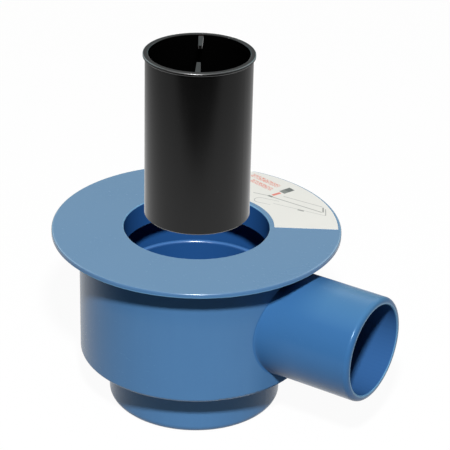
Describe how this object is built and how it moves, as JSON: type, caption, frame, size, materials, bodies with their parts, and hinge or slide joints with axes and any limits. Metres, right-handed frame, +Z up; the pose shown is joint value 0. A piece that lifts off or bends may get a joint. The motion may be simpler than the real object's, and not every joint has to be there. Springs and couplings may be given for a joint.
{
  "type": "gully trap",
  "caption": "Floor drain gully trap: round flange and neck, water cup in a vessel, side outlet spigot for 50 mm pipe, and a lift-out dip tube.",
  "frame": {"origin": "centre of the opening, on the flange's top face", "axes": "+Z up along the neck and the dip tube, +X along the outlet spigot"},
  "size_m": [0.1669, 0.137, 0.1768],
  "materials": {
    "blue_plastic": "satin moulded",
    "black_plastic": "satin moulded",
    "label_film": "printed sticker"
  },
  "bodies": {
    "drain": {"trap_body": "blue_plastic", "flange_collar": "blue_plastic", "flange_label": "label_film"},
    "dip_tube": {"dip_tube": "black_plastic"}
  },
  "joints": [
    {"name": "dip_tube_lift", "type": "slide", "parent": "drain", "child": "dip_tube", "axis": [0, 0, 1], "range_m": [-0.0842, 0.085]}
  ]
}
